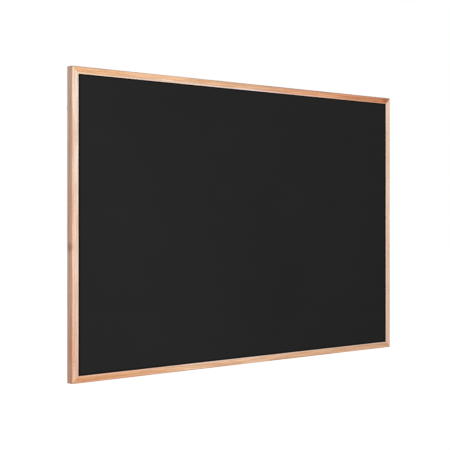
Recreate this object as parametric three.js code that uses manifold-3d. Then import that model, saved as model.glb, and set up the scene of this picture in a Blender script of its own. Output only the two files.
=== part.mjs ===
// A wall chalkboard: a black writing panel in a slim mitred wooden frame, hung by two folding rings.
// Millimetres, +Z up. The front faces -Y, and X runs to the right as seen from the front.
// The origin lies on the wall plane, midway between the hinge lines of the two hanging rings.
import * as THREE from "three";
import { mergeVertices } from "three/addons/utils/BufferGeometryUtils.js";
import Module from "manifold-3d";

const wasm = await Module();
wasm.setup();

// Board
const BOARD_WIDTH = 900;
const BOARD_HEIGHT = 600;

// Panel layers, from the front
const WRITING_THICKNESS = 3;
const CORE_THICKNESS = 3.5;
const BACKING_THICKNESS = 1.5;
const GLUE_LINE = 0.1; // film of glue between two layers
const PANEL_PLAY = 0.15; // clearance on each side of the layers in the groove
const EDGE_PLAY = 0.5; // room for the panel to swell, between its edge and the groove's floor

// Frame moulding: u runs from the outer edge to the sight edge, v from the front to the back
const OUTER_WALL = 8; // wood between the outer edge and the groove's floor
const GROOVE_DEPTH = 6;
const FRONT_LIP = 1.5; // wood in front of the groove
const BACK_WOOD = 8; // wood behind the groove
const BEVEL_WIDTH = 3; // eased band along the sight edge
const BEVEL_DROP = 0.5;
const OUTER_ARRIS = 1.5;
const SIGHT_ARRIS = 0.3;
const BACK_ARRIS = 0.6;
const MITRE_GAP = 0.2; // glue line between two mitred ends

// V-nails across the mitres, driven in from behind
const NAIL_LEG = 4.5;
const NAIL_STEEL = 0.5;
const NAIL_SINK = 0.3; // how far a nail sits below the back
const NAIL_COVER = 2; // wood left in front of a nail
const NAIL_OUTER_EDGE = 1.7; // wood between the outer nail's legs and the frame's outer edges
const NAIL_SIGHT_EDGE = 2; // wood between the inner nail and the sight edges
const NAIL_CLEARANCE = 0.15;

// Hanger straps on the backs of the stiles
const HINGE_DROP = 75; // from the board's top edge down to the rings' hinge line
const STRAP_STEEL = 0.8;
const STRAP_WIDTH = 7;
const STRAP_CURL_END = 20; // degrees past horizontal where the rolled loop stops
const STRAP_END_MARGIN = 3.5; // from the lower screw's centre to the strap's end
const SCREW_SPACING = 8;

// Hanging rings
const RING_WIRE = 1.8; // diameter
const RING_WIDTH = 10.6; // between the centres of the two sides
const RING_CORNER = 1.6; // bend between the hinge bar and a side, at the wire's centre
const RING_SIDE = 5; // from the hinge line down to where the bow starts
const RING_SPLIT = 0.4; // gap between the wire's two ends, inside the loop
const HINGE_CLEARANCE = 0.15;

// Strap screws
const SCREW_SHANK = 2.6; // diameter
const SCREW_HEAD = 5; // diameter
const SCREW_HEAD_HEIGHT = 1.5;
const SCREW_RIM = 0.5; // height of the head's straight rim
const SCREW_POINT = 2; // length of the tapered point
const SCREW_COVER = 1; // wood left in front of the point
const SCREW_CLEARANCE = 0.2;
const HEAD_TO_RING = 0.5; // between the upper screw's head and the folded ring
const RECESS_LENGTH = 2.8;
const RECESS_WIDTH = 0.7;
const RECESS_DEPTH = 0.8;

// Wall bumpers
const BUMPER_DIAMETER = 7.5;
const BUMPER_THICKNESS = 4;
const BUMPER_ARRIS = 0.8;
const BUMPER_FROM_END = 25; // from the board's top or bottom edge to a bumper's centre

// Fineness of round shapes, and how far a cutter stands out of what it cuts
const ARRIS_STEPS = 12;
const ARC_STEPS = 8;
const ROUND_SIDES = 20;
const WIRE_ARC_STEPS = 5;
const RING_STEPS = 52;
const OVERSHOOT = 1;
const MERGE_DISTANCE = 1e-4;

// Sizes that follow
const grooveWidth =
  WRITING_THICKNESS + CORE_THICKNESS + BACKING_THICKNESS + 2 * GLUE_LINE + 2 * PANEL_PLAY;
const faceWidth = OUTER_WALL + GROOVE_DEPTH;
const mouldingDepth = FRONT_LIP + grooveWidth + BACK_WOOD;
const panelWidth = BOARD_WIDTH - 2 * (OUTER_WALL + EDGE_PLAY);
const panelHeight = BOARD_HEIGHT - 2 * (OUTER_WALL + EDGE_PLAY);
const nailHeight = BACK_WOOD - NAIL_SINK - NAIL_COVER;
const loopBore = RING_WIRE / 2 + HINGE_CLEARANCE;
const loopRadius = loopBore + STRAP_STEEL;
const ringReach = RING_SIDE + RING_WIDTH / 2 + RING_WIRE / 2;
const upperScrewDrop = ringReach + HEAD_TO_RING + SCREW_HEAD / 2;
const lowerScrewDrop = upperScrewDrop + SCREW_SPACING;
const strapLength = lowerScrewDrop + STRAP_END_MARGIN;
const screwLength = BACK_WOOD - SCREW_COVER + STRAP_STEEL;
const screwHoleRadius = SCREW_SHANK / 2 + SCREW_CLEARANCE;

const wood = new THREE.MeshStandardMaterial({ color: 0xe2b48c, roughness: 0.6 });
const chalkLacquer = new THREE.MeshStandardMaterial({ color: 0x262626, roughness: 0.9 });
const fibreBoard = new THREE.MeshStandardMaterial({ color: 0xb49468, roughness: 0.95 });
const backingBoard = new THREE.MeshStandardMaterial({ color: 0x8a6a48, roughness: 0.85 });
const nailSteel = new THREE.MeshStandardMaterial({ color: 0x8f9296, roughness: 0.45, metalness: 1 });
const zincSteel = new THREE.MeshStandardMaterial({ color: 0xc9ccd0, roughness: 0.35, metalness: 1 });
const rubber = new THREE.MeshStandardMaterial({ color: 0x34322f, roughness: 0.8 });

// Turns a closed geometry into a solid that can be cut
function solidOf(geometry) {
  const bare = geometry.clone();
  bare.deleteAttribute("normal");
  bare.deleteAttribute("uv");
  const merged = mergeVertices(bare, MERGE_DISTANCE);
  return new wasm.Manifold(
    new wasm.Mesh({
      numProp: 3,
      vertProperties: merged.attributes.position.array,
      triVerts: Uint32Array.from(merged.index.array),
    }),
  );
}

function geometryOf(solid) {
  const { vertProperties, triVerts } = solid.getMesh();
  const geometry = new THREE.BufferGeometry();
  geometry.setAttribute("position", new THREE.BufferAttribute(vertProperties, 3));
  geometry.setIndex(new THREE.BufferAttribute(triVerts, 1));
  geometry.computeVertexNormals();
  return geometry;
}

// Takes the cutters out of a piece that stands in the same group
function cut(piece, cutters) {
  piece.updateMatrix();
  const intoPiece = piece.matrix.clone().invert();
  let solid = solidOf(piece.geometry);
  for (const cutter of cutters) {
    cutter.updateMatrix();
    const placement = intoPiece.clone().multiply(cutter.matrix);
    solid = solid.subtract(solidOf(cutter.geometry.clone().applyMatrix4(placement)));
  }
  piece.geometry = geometryOf(solid);
}

function namedMesh(name, geometry, material) {
  const mesh = new THREE.Mesh(geometry, material);
  mesh.name = name;
  return mesh;
}

// Frame members

// The moulding's outline, with its groove, its bevelled sight edge and its eased outer edges
function mouldingOutline() {
  const bevelSlope = BEVEL_DROP / BEVEL_WIDTH;
  const grooveFloor = faceWidth - GROOVE_DEPTH;
  const grooveBack = FRONT_LIP + grooveWidth;
  const outline = new THREE.Shape();
  outline.moveTo(0, OUTER_ARRIS);
  outline.absarc(OUTER_ARRIS, OUTER_ARRIS, OUTER_ARRIS, Math.PI, 1.5 * Math.PI, false);
  outline.lineTo(faceWidth - BEVEL_WIDTH, 0);
  outline.lineTo(faceWidth - SIGHT_ARRIS, BEVEL_DROP - SIGHT_ARRIS * bevelSlope);
  outline.quadraticCurveTo(faceWidth, BEVEL_DROP, faceWidth, BEVEL_DROP + SIGHT_ARRIS);
  outline.lineTo(faceWidth, FRONT_LIP);
  outline.lineTo(grooveFloor, FRONT_LIP);
  outline.lineTo(grooveFloor, grooveBack);
  outline.lineTo(faceWidth, grooveBack);
  outline.lineTo(faceWidth, mouldingDepth - BACK_ARRIS);
  const backCentre = mouldingDepth - BACK_ARRIS;
  outline.absarc(faceWidth - BACK_ARRIS, backCentre, BACK_ARRIS, 0, 0.5 * Math.PI, false);
  outline.lineTo(BACK_ARRIS, mouldingDepth);
  outline.absarc(BACK_ARRIS, backCentre, BACK_ARRIS, 0.5 * Math.PI, Math.PI, false);
  outline.closePath();
  return outline;
}

// A member lies along X with its outer edge at z = 0 and its back at y = 0, both ends cut to 45 degrees
function mitredMember(length) {
  const geometry = new THREE.ExtrudeGeometry(mouldingOutline(), {
    depth: length,
    bevelEnabled: false,
    curveSegments: ARRIS_STEPS,
  });
  geometry.rotateY(Math.PI / 2);
  geometry.translate(-length / 2, -mouldingDepth, 0);
  const points = geometry.attributes.position;
  for (let i = 0; i < points.count; i++) {
    const mitredHalf = length / 2 + points.getZ(i) - MITRE_GAP / Math.SQRT2;
    points.setX(i, Math.sign(points.getX(i)) * mitredHalf);
  }
  return geometry;
}

function frameMember(name, length, x, z, turn) {
  const member = namedMesh(name, mitredMember(length), wood);
  member.position.set(x, 0, z);
  member.rotation.y = turn;
  return member;
}

const members = {
  top: frameMember("frame_top_rail", BOARD_WIDTH, 0, BOARD_HEIGHT / 2, 0),
  bottom: frameMember("frame_bottom_rail", BOARD_WIDTH, 0, -BOARD_HEIGHT / 2, Math.PI),
  left: frameMember("frame_left_stile", BOARD_HEIGHT, -BOARD_WIDTH / 2, 0, -Math.PI / 2),
  right: frameMember("frame_right_stile", BOARD_HEIGHT, BOARD_WIDTH / 2, 0, Math.PI / 2),
};

// Panel layers in the groove

function layer(name, thickness, frontDepth, material) {
  const sheet = namedMesh(name, new THREE.BoxGeometry(panelWidth, thickness, panelHeight), material);
  sheet.position.y = -mouldingDepth + frontDepth + thickness / 2;
  return sheet;
}

const writingFront = FRONT_LIP + PANEL_PLAY;
const coreFront = writingFront + WRITING_THICKNESS + GLUE_LINE;
const backingFront = coreFront + CORE_THICKNESS + GLUE_LINE;
const layers = [
  layer("writing_panel", WRITING_THICKNESS, writingFront, chalkLacquer),
  layer("core_board", CORE_THICKNESS, coreFront, fibreBoard),
  layer("backing_board", BACKING_THICKNESS, backingFront, backingBoard),
];

// V-nails

// A right-angled chevron with its point at the origin and its legs along +X and +Z, below the back
function chevron(grow, top, bottom) {
  const leg = NAIL_LEG + grow;
  const inside = NAIL_STEEL + grow;
  const outline = new THREE.Shape();
  outline.moveTo(-grow, -grow);
  outline.lineTo(leg, -grow);
  outline.lineTo(leg, inside);
  outline.lineTo(inside, inside);
  outline.lineTo(inside, leg);
  outline.lineTo(-grow, leg);
  outline.closePath();
  const geometry = new THREE.ExtrudeGeometry(outline, { depth: top - bottom, bevelEnabled: false });
  geometry.rotateX(Math.PI / 2);
  geometry.translate(0, top, 0);
  return geometry;
}

const corners = [
  { name: "top_right", x: 1, z: 1, turn: 0, joins: [members.top, members.right] },
  { name: "top_left", x: -1, z: 1, turn: -Math.PI / 2, joins: [members.top, members.left] },
  { name: "bottom_left", x: -1, z: -1, turn: Math.PI, joins: [members.bottom, members.left] },
  { name: "bottom_right", x: 1, z: -1, turn: Math.PI / 2, joins: [members.bottom, members.right] },
];
const nailPlaces = [
  { name: "outer", fromEdges: NAIL_OUTER_EDGE + NAIL_LEG },
  { name: "inner", fromEdges: faceWidth - NAIL_SIGHT_EDGE },
];
const nailBottom = -NAIL_SINK - nailHeight;
const nails = [];
for (const corner of corners) {
  for (const place of nailPlaces) {
    const nail = namedMesh(
      `corner_nail_${corner.name}_${place.name}`,
      chevron(0, -NAIL_SINK, nailBottom),
      nailSteel,
    );
    const slot = new THREE.Mesh(chevron(NAIL_CLEARANCE, OVERSHOOT, nailBottom - NAIL_CLEARANCE));
    for (const piece of [nail, slot]) {
      piece.position.x = corner.x * (BOARD_WIDTH / 2 - place.fromEdges);
      piece.position.z = corner.z * (BOARD_HEIGHT / 2 - place.fromEdges);
      piece.rotation.y = corner.turn;
    }
    corner.joins.forEach((member) => cut(member, [slot]));
    nails.push(nail);
  }
}

// Hangers: a strap with a rolled loop, two screws and a folding ring on the back of each stile

// The strap's side view: x runs down the stile from the hinge line, y away from the wood
function strapSide() {
  const curlStart = -0.5 * Math.PI;
  const curlEnd = -2 * Math.PI - THREE.MathUtils.degToRad(STRAP_CURL_END);
  const side = new THREE.Shape();
  side.moveTo(strapLength, 0);
  side.lineTo(0, 0);
  side.absarc(0, loopRadius, loopRadius, curlStart, curlEnd, true);
  side.absarc(0, loopRadius, loopBore, curlEnd, curlStart, false);
  side.lineTo(strapLength, STRAP_STEEL);
  side.closePath();
  return side;
}

// The strap's front view: x runs across the stile, y down it, with a round lower end and two holes
function strapFace() {
  const half = STRAP_WIDTH / 2;
  const face = new THREE.Shape();
  face.moveTo(-half, -loopRadius - OVERSHOOT);
  face.lineTo(half, -loopRadius - OVERSHOOT);
  face.lineTo(half, strapLength - half);
  face.absarc(0, strapLength - half, half, 0, Math.PI, false);
  face.closePath();
  for (const drop of [upperScrewDrop, lowerScrewDrop]) {
    face.holes.push(new THREE.Path().absarc(0, drop, screwHoleRadius, 0, 2 * Math.PI, false));
  }
  return face;
}

function strapGeometry() {
  const rolled = new THREE.ExtrudeGeometry(strapSide(), {
    depth: STRAP_WIDTH + 2 * OVERSHOOT,
    bevelEnabled: false,
    curveSegments: 2 * ARC_STEPS,
  });
  rolled.rotateY(Math.PI / 2);
  rolled.translate(-STRAP_WIDTH / 2 - OVERSHOOT, 0, 0);
  const punched = new THREE.ExtrudeGeometry(strapFace(), {
    depth: 2 * loopRadius + 2 * OVERSHOOT,
    bevelEnabled: false,
    curveSegments: ARC_STEPS,
  });
  punched.rotateX(-Math.PI / 2);
  punched.translate(0, -OVERSHOOT, 0);
  return geometryOf(solidOf(rolled).intersect(solidOf(punched)));
}

// A pan-head screw along Y: its point in the wood, its head on the strap, with a cross recess
function screwGeometry() {
  const shank = SCREW_SHANK / 2;
  const head = SCREW_HEAD / 2;
  const outline = new THREE.Path();
  outline.moveTo(0, -screwLength);
  outline.lineTo(shank, -screwLength + SCREW_POINT);
  outline.lineTo(shank, 0);
  outline.lineTo(head, 0);
  outline.lineTo(head, SCREW_RIM);
  outline.quadraticCurveTo(head, SCREW_HEAD_HEIGHT, 0, SCREW_HEAD_HEIGHT);
  let screw = solidOf(new THREE.LatheGeometry(outline.getPoints(ARC_STEPS), ROUND_SIDES));
  for (const [across, down] of [
    [RECESS_LENGTH, RECESS_WIDTH],
    [RECESS_WIDTH, RECESS_LENGTH],
  ]) {
    const slot = new THREE.BoxGeometry(across, 2 * RECESS_DEPTH, down);
    slot.translate(0, SCREW_HEAD_HEIGHT, 0);
    screw = screw.subtract(solidOf(slot));
  }
  return geometryOf(screw);
}

// The middle line of a ring's wire, hanging down from its hinge bar, which is split at its middle
class RingLine extends THREE.Curve {
  constructor() {
    super();
    const half = RING_WIDTH / 2;
    const barEnd = half - RING_CORNER;
    const quarter = 0.5 * Math.PI;
    this.outline = new THREE.Path();
    this.outline.moveTo(RING_SPLIT / 2, 0);
    this.outline.lineTo(barEnd, 0);
    this.outline.absarc(barEnd, -RING_CORNER, RING_CORNER, quarter, 0, true);
    this.outline.lineTo(half, -RING_SIDE);
    this.outline.absarc(0, -RING_SIDE, half, 0, -Math.PI, true);
    this.outline.lineTo(-half, -RING_CORNER);
    this.outline.absarc(-barEnd, -RING_CORNER, RING_CORNER, Math.PI, quarter, true);
    this.outline.lineTo(-RING_SPLIT / 2, 0);
  }

  getPoint(t) {
    const { x, y } = this.outline.getPoint(t);
    return new THREE.Vector3(x, 0, y);
  }
}

function ringGeometry() {
  const section = new THREE.Shape().absarc(0, 0, RING_WIRE / 2, 0, 2 * Math.PI, false);
  return new THREE.ExtrudeGeometry(section, {
    steps: RING_STEPS,
    curveSegments: WIRE_ARC_STEPS,
    extrudePath: new RingLine(),
  });
}

const hangers = new THREE.Group();
for (const [side, direction] of [
  ["left", -1],
  ["right", 1],
]) {
  const hanger = new THREE.Group();
  hanger.position.set(
    direction * (BOARD_WIDTH / 2 - faceWidth / 2),
    0,
    BOARD_HEIGHT / 2 - HINGE_DROP,
  );
  hanger.add(namedMesh(`hanger_strap_${side}`, strapGeometry(), zincSteel));

  const pilots = [];
  for (const [place, drop] of [
    ["upper", upperScrewDrop],
    ["lower", lowerScrewDrop],
  ]) {
    const screw = namedMesh(`strap_screw_${side}_${place}`, screwGeometry(), zincSteel);
    screw.position.set(0, STRAP_STEEL, -drop);
    hanger.add(screw);

    const depth = screwLength - STRAP_STEEL + SCREW_CLEARANCE;
    const pilot = new THREE.Mesh(
      new THREE.CylinderGeometry(screwHoleRadius, screwHoleRadius, depth + OVERSHOOT, ROUND_SIDES),
    );
    pilot.position.copy(hanger.position);
    pilot.position.y = (OVERSHOOT - depth) / 2;
    pilot.position.z -= drop;
    pilots.push(pilot);
  }
  cut(members[side], pilots);

  const ring = namedMesh(`hanger_ring_${side}`, ringGeometry(), zincSteel);
  ring.position.y = loopRadius;
  hanger.add(ring);
  hangers.add(hanger);
}

// Wall bumpers, one near each end of both stiles

function bumperGeometry() {
  const radius = BUMPER_DIAMETER / 2;
  const outline = new THREE.Path();
  outline.moveTo(0, 0);
  outline.lineTo(radius, 0);
  outline.lineTo(radius, BUMPER_THICKNESS - BUMPER_ARRIS);
  outline.absarc(
    radius - BUMPER_ARRIS,
    BUMPER_THICKNESS - BUMPER_ARRIS,
    BUMPER_ARRIS,
    0,
    0.5 * Math.PI,
    false,
  );
  outline.lineTo(0, BUMPER_THICKNESS);
  return new THREE.LatheGeometry(outline.getPoints(WIRE_ARC_STEPS), ROUND_SIDES);
}

const bumpers = corners.map((corner) => {
  const bumper = namedMesh(`wall_bumper_${corner.name}`, bumperGeometry(), rubber);
  bumper.position.x = corner.x * (BOARD_WIDTH / 2 - faceWidth / 2);
  bumper.position.z = corner.z * (BOARD_HEIGHT / 2 - BUMPER_FROM_END);
  return bumper;
});

// The board stands with its back one bumper's thickness in front of the wall
const chalkboard = new THREE.Group();
chalkboard.name = "chalkboard";
chalkboard.position.set(0, -BUMPER_THICKNESS, HINGE_DROP - BOARD_HEIGHT / 2);
chalkboard.add(...Object.values(members), ...layers, ...nails, hangers, ...bumpers);

const group = new THREE.Group();
group.add(chalkboard);

export default group;
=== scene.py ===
import math

import bpy
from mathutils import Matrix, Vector


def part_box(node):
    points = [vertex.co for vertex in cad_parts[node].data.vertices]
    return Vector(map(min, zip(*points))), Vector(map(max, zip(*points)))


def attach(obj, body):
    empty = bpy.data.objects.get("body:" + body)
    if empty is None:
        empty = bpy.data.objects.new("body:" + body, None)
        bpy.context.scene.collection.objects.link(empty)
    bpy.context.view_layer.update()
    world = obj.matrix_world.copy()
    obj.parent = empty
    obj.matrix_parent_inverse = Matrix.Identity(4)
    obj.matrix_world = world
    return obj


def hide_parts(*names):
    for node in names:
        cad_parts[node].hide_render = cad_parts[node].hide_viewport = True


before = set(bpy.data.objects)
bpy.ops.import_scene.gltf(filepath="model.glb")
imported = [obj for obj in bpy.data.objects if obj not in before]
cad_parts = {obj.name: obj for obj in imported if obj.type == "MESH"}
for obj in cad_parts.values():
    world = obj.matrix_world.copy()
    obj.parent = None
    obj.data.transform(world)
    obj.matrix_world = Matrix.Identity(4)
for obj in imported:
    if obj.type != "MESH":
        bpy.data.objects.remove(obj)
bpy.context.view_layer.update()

# Camera
# The photograph is taken level, from the front left, at a little over two metres from the board.
# Its lens and place come from the edges of the frame, taken as 900 x 600 mm.
MM = 0.001
IMAGE_WIDTH_PX = 450
FOCAL_LENGTH_PX = 1095.4
HORIZON_ABOVE_CENTRE_PX = 10.25
SENSOR_MM = 36
CAMERA_FROM_BOARD = Vector((-1566, -1757, 19)) * MM
CAMERA_TURN = math.radians(-40.36)

top_low, top_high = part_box("frame_top_rail")
bottom_low, bottom_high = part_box("frame_bottom_rail")
left_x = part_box("frame_left_stile")[0].x
right_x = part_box("frame_right_stile")[1].x
front_y = top_low.y
back_y = top_high.y
board_width = right_x - left_x
board_height = top_high.z - bottom_low.z
board_middle = Vector((0, front_y, (top_high.z + bottom_low.z) / 2))

camera_data = bpy.data.cameras.new("camera")
camera_data.sensor_width = SENSOR_MM
camera_data.lens = SENSOR_MM * FOCAL_LENGTH_PX / IMAGE_WIDTH_PX
camera_data.shift_y = -HORIZON_ABOVE_CENTRE_PX / IMAGE_WIDTH_PX
camera = bpy.data.objects.new("camera", camera_data)
camera.location = board_middle + CAMERA_FROM_BOARD
camera.rotation_euler = (math.radians(90), 0, CAMERA_TURN)
bpy.context.scene.collection.objects.link(camera)
bpy.context.scene.camera = camera
bpy.context.scene.view_settings.view_transform = "Standard"

# Frame members
# Four lengths of light oak moulding, planed with a groove for the panel and a flat bevel along the
# sight edge. The ends are mitred and glued, the edges are eased with paper, and one thin satin coat
# covers the wood.
MEMBER_WIDTH = top_high.z - top_low.z
MEMBER_DEPTH = back_y - front_y
GROOVE_FRONT = 1.5 * MM
GROOVE_BACK = 10 * MM
GROOVE_DEPTH = 6 * MM
BEVEL_WIDTH = 3 * MM
BEVEL_DROP = 0.5 * MM
OUTER_ARRIS = 1.5 * MM
BACK_ARRIS = 0.6 * MM
SIGHT_ARRIS = 0.3 * MM
MITRE_GAP = 0.1 * MM
FINE = 0.001 * MM
SAME_PLACE = 0.01 * MM


def take(piece):
    """Selects the piece alone and makes it active."""
    bpy.ops.object.select_all(action="DESELECT")
    piece.select_set(True)
    bpy.context.view_layer.objects.active = piece


def begin(name, add_primitive, **settings):
    """Adds a primitive with nothing else selected, and lets its place and size into its mesh."""
    bpy.ops.object.select_all(action="DESELECT")
    add_primitive(**settings)
    piece = bpy.context.object
    piece.name = name
    piece.data.name = name
    bpy.ops.object.transform_apply(location=True, rotation=True, scale=True)
    return piece


def place_at(piece, location, turn=0.0):
    """Turns a piece about Y, moves it, and lets both into its mesh."""
    take(piece)
    piece.location = location
    piece.rotation_euler = (0, turn, 0)
    bpy.ops.object.transform_apply(location=True, rotation=True, scale=True)


def near(first, second):
    return abs(first - second) < SAME_PLACE


def pick(kind, wanted):
    """Goes to edit mode and selects the vertices, edges or faces whose every corner is wanted."""
    bpy.ops.object.mode_set(mode="EDIT")
    bpy.ops.mesh.select_mode(type=kind)
    bpy.ops.mesh.select_all(action="DESELECT")
    bpy.ops.object.mode_set(mode="OBJECT")
    mesh = bpy.context.object.data
    if kind == "VERT":
        for vertex in mesh.vertices:
            vertex.select = wanted(vertex.co)
    else:
        for part in mesh.edges if kind == "EDGE" else mesh.polygons:
            part.select = all(wanted(mesh.vertices[corner].co) for corner in part.vertices)
    bpy.ops.object.mode_set(mode="EDIT")


def split(co, normal, **settings):
    """Cuts what is selected along a plane."""
    bpy.ops.mesh.bisect(plane_co=co, plane_no=normal, threshold=FINE, **settings)


def pull(x, y, z):
    """Extrudes what is selected."""
    bpy.ops.mesh.extrude_region_move(TRANSFORM_OT_translate={"value": (x, y, z)})


def ease(radius, steps):
    """Rounds the selected edges."""
    bpy.ops.mesh.bevel(
        offset=radius, offset_type="OFFSET", segments=steps, affect="EDGES", clamp_overlap=True
    )


def moulding(name, length):
    """A length of the moulding along X: its outer edge is z = 0, its front y = 0, its ends mitred."""
    sight_edge = -MEMBER_WIDTH
    member = begin(
        name,
        bpy.ops.mesh.primitive_cube_add,
        size=1,
        location=(0, MEMBER_DEPTH / 2, -MEMBER_WIDTH / 2),
        scale=(length, MEMBER_DEPTH, MEMBER_WIDTH),
    )
    for groove_wall in (GROOVE_FRONT, GROOVE_BACK):
        pick("FACE", lambda point: near(point.z, sight_edge))
        split((0, groove_wall, 0), (0, 1, 0))
    pick(
        "FACE",
        lambda point: near(point.z, sight_edge) and GROOVE_FRONT - FINE < point.y < GROOVE_BACK + FINE,
    )
    pull(0, 0, GROOVE_DEPTH)
    pick("FACE", lambda point: near(point.y, 0))
    split((0, 0, sight_edge + BEVEL_WIDTH), (0, 0, 1))
    pick("VERT", lambda point: near(point.y, 0) and near(point.z, sight_edge))
    bpy.ops.transform.translate(value=(0, BEVEL_DROP, 0))
    arrises = (
        (0, 0, OUTER_ARRIS, 8),
        (BEVEL_DROP, sight_edge, SIGHT_ARRIS, 3),
        (MEMBER_DEPTH, sight_edge, BACK_ARRIS, 4),
        (MEMBER_DEPTH, 0, BACK_ARRIS, 4),
    )
    for y, z, radius, steps in arrises:
        pick("EDGE", lambda point: near(point.y, y) and near(point.z, z))
        ease(radius, steps)
    for end in (-1, 1):
        bpy.ops.mesh.select_all(action="SELECT")
        tip = end * (length / 2 - MITRE_GAP / math.sqrt(2))
        split((tip, 0, 0), (end, 0, -1), use_fill=True, clear_outer=True)
    bpy.ops.object.mode_set(mode="OBJECT")
    return member


def hand_over(piece, node, body="board"):
    """Hides the node that the piece stands in for, and lets the piece ride with its body."""
    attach(piece, body)
    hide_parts(node)


member_places = {
    "top_rail": (board_width, Vector((0, front_y, top_high.z)), 0.0),
    "bottom_rail": (board_width, Vector((0, front_y, bottom_low.z)), math.pi),
    "left_stile": (board_height, Vector((left_x, front_y, board_middle.z)), -math.pi / 2),
    "right_stile": (board_height, Vector((right_x, front_y, board_middle.z)), math.pi / 2),
}
members = {}
for name, (length, place, turn) in member_places.items():
    members[name] = moulding(name, length)
    place_at(members[name], place, turn)
    hand_over(members[name], f"frame_{name}")


def node_of(tree, kind, **settings):
    """Adds a shader node with these settings."""
    made = tree.nodes.new(kind)
    for name, value in settings.items():
        setattr(made, name, value)
    return made


def feed(tree, socket, value):
    """Gives a socket a number, a colour, a vector or another node's output."""
    if isinstance(value, bpy.types.NodeSocket):
        tree.links.new(value, socket)
    elif isinstance(value, tuple) and len(socket.default_value) == 4:
        socket.default_value = (*value, 1)
    else:
        socket.default_value = value


def compute(tree, operation, first, *others):
    """Does arithmetic on a number, or on two or more of them from left to right."""
    for other in others or (0.0,):
        made = node_of(tree, "ShaderNodeMath", operation=operation)
        feed(tree, made.inputs[0], first)
        feed(tree, made.inputs[1], other)
        first = made.outputs[0]
    return first


def vector_of(tree, operation, first, second):
    made = node_of(tree, "ShaderNodeVectorMath", operation=operation)
    feed(tree, made.inputs[0], first)
    feed(tree, made.inputs[1], second)
    return made.outputs["Vector"]


def length_of(tree, vector):
    made = node_of(tree, "ShaderNodeVectorMath", operation="LENGTH")
    feed(tree, made.inputs[0], vector)
    return made.outputs["Value"]


def axes_of(tree, vector):
    made = node_of(tree, "ShaderNodeSeparateXYZ")
    feed(tree, made.inputs[0], vector)
    return made.outputs


def step_between(tree, value, low, high, to_low=0.0, to_high=1.0):
    """A smooth step: to_low where value is low, to_high where it is high."""
    made = node_of(tree, "ShaderNodeMapRange", interpolation_type="SMOOTHSTEP")
    for place, number in enumerate((value, low, high, to_low, to_high)):
        feed(tree, made.inputs[place], number)
    return made.outputs["Result"]


def blend_of(tree, share, first, second, way="MIX"):
    made = node_of(tree, "ShaderNodeMix", data_type="RGBA", blend_type=way)
    feed(tree, made.inputs[0], share)
    feed(tree, made.inputs[6], first)
    feed(tree, made.inputs[7], second)
    return made.outputs[2]


def shade_of(tree, share, colour, shade):
    """Multiplies a colour by a shade, as far as the share goes."""
    return blend_of(tree, share, colour, shade, "MULTIPLY")


def grain_of(tree, place, per_metre, detail=2.0, roughness=0.5):
    """Noise with so many features per metre along each axis."""
    made = node_of(tree, "ShaderNodeTexNoise")
    feed(tree, made.inputs["Vector"], vector_of(tree, "MULTIPLY", place, per_metre))
    feed(tree, made.inputs["Scale"], 1.0)
    feed(tree, made.inputs["Detail"], detail)
    feed(tree, made.inputs["Roughness"], roughness)
    return made.outputs["Fac"]


def new_finish(name, specular, metallic=0.0):
    """A new material, with its tree, its shader and the place that its patterns are drawn on."""
    material = bpy.data.materials.new(name)
    material.use_nodes = True
    tree = material.node_tree
    shader = tree.nodes["Principled BSDF"]
    shader.inputs["Specular IOR Level"].default_value = specular
    shader.inputs["Metallic"].default_value = metallic
    place = node_of(tree, "ShaderNodeTexCoord").outputs["Object"]
    return material, tree, shader, place


def add_relief(tree, shader, height, depth):
    """Tilts the light on the surface as a relief of this depth would."""
    made = node_of(tree, "ShaderNodeBump")
    feed(tree, made.inputs["Height"], height)
    feed(tree, made.inputs["Distance"], depth)
    feed(tree, shader.inputs["Normal"], made.outputs["Normal"])


def coat(piece, material):
    piece.data.materials.clear()
    piece.data.materials.append(material)


RING_SPACING = 3.0 * MM
RING_WANDER = 18 * MM
HEART_BEHIND = 30 * MM
HEART_BESIDE = 48 * MM
HEART_BEHIND_SPREAD = 8 * MM
HEART_BESIDE_SPREAD = 10 * MM
# Rings bulge round a knot by so many times its half width, from so many times its size outwards
KNOT_BULGE = 2.4
KNOT_REACH = 3.0
# How far apart the four boards lie in the pattern, in metres
BOARD_STEP = (1.7, 0.31, 0.23)
# Features per metre along the member, through its depth and across its width
RING_WAVES = (2.4, 10, 10)
BROAD_STREAKS = (5, 140, 140)
FINE_STREAKS = (13, 360, 360)
FIBRES = (60, 3000, 3000)
PORES = (170, 3400, 3400)
ARRIS_SHADE_PATCHES = (14, 120, 120)
# How far each feature changes the colour
BROAD_SHARE = 0.26
STREAK_SHARE = 0.52
LATE_WOOD_SHARE = 0.38
FIBRE_SHARE = 0.08
PORE_SHARE = 0.8
KNOT_SHARE = 0.8
BEVEL_FIGURE = 0.3
DARK_STREAK = (0.70, 0.55, 0.43)
PORE_SHADE = (0.50, 0.38, 0.28)
KNOT_SHADE = (0.56, 0.48, 0.42)
SIDE_PAINTED_SHADE = (1.0, 0.84, 0.80)
BEVEL_LIFT = (1.02, 1.35, 2.10)
SAPWOOD_LIFT = (1.03, 1.26, 1.70)
ARRIS_PAINTED_SHADE = (0.26, 0.24, 0.22)
ARRIS_SHADE_SHARE = 0.50
ARRIS_SHADE_WIDTH = 2.5 * MM
SIGHT_LINE_TONE = (0.030, 0.024, 0.018)
SIGHT_LINE_WIDTH = 1.0 * MM
SATIN_ROUGHNESS = (0.44, 0.56)
PORE_ROUGHNESS = 0.3
FIBRE_HEIGHT = 0.4
LATE_WOOD_HEIGHT = 0.3
GRAIN_RELIEF = 0.05 * MM


def spindle_distance(tree, here, centre, half_length, half_width):
    """How far out a point lies in a spindle along the member, from 0 at its centre to 1 at its skin."""
    per_size = (1 / half_length, 1 / half_width, 1 / half_width)
    from_centre = vector_of(tree, "SUBTRACT", here, centre)
    return length_of(tree, vector_of(tree, "MULTIPLY", from_centre, per_size))


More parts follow.
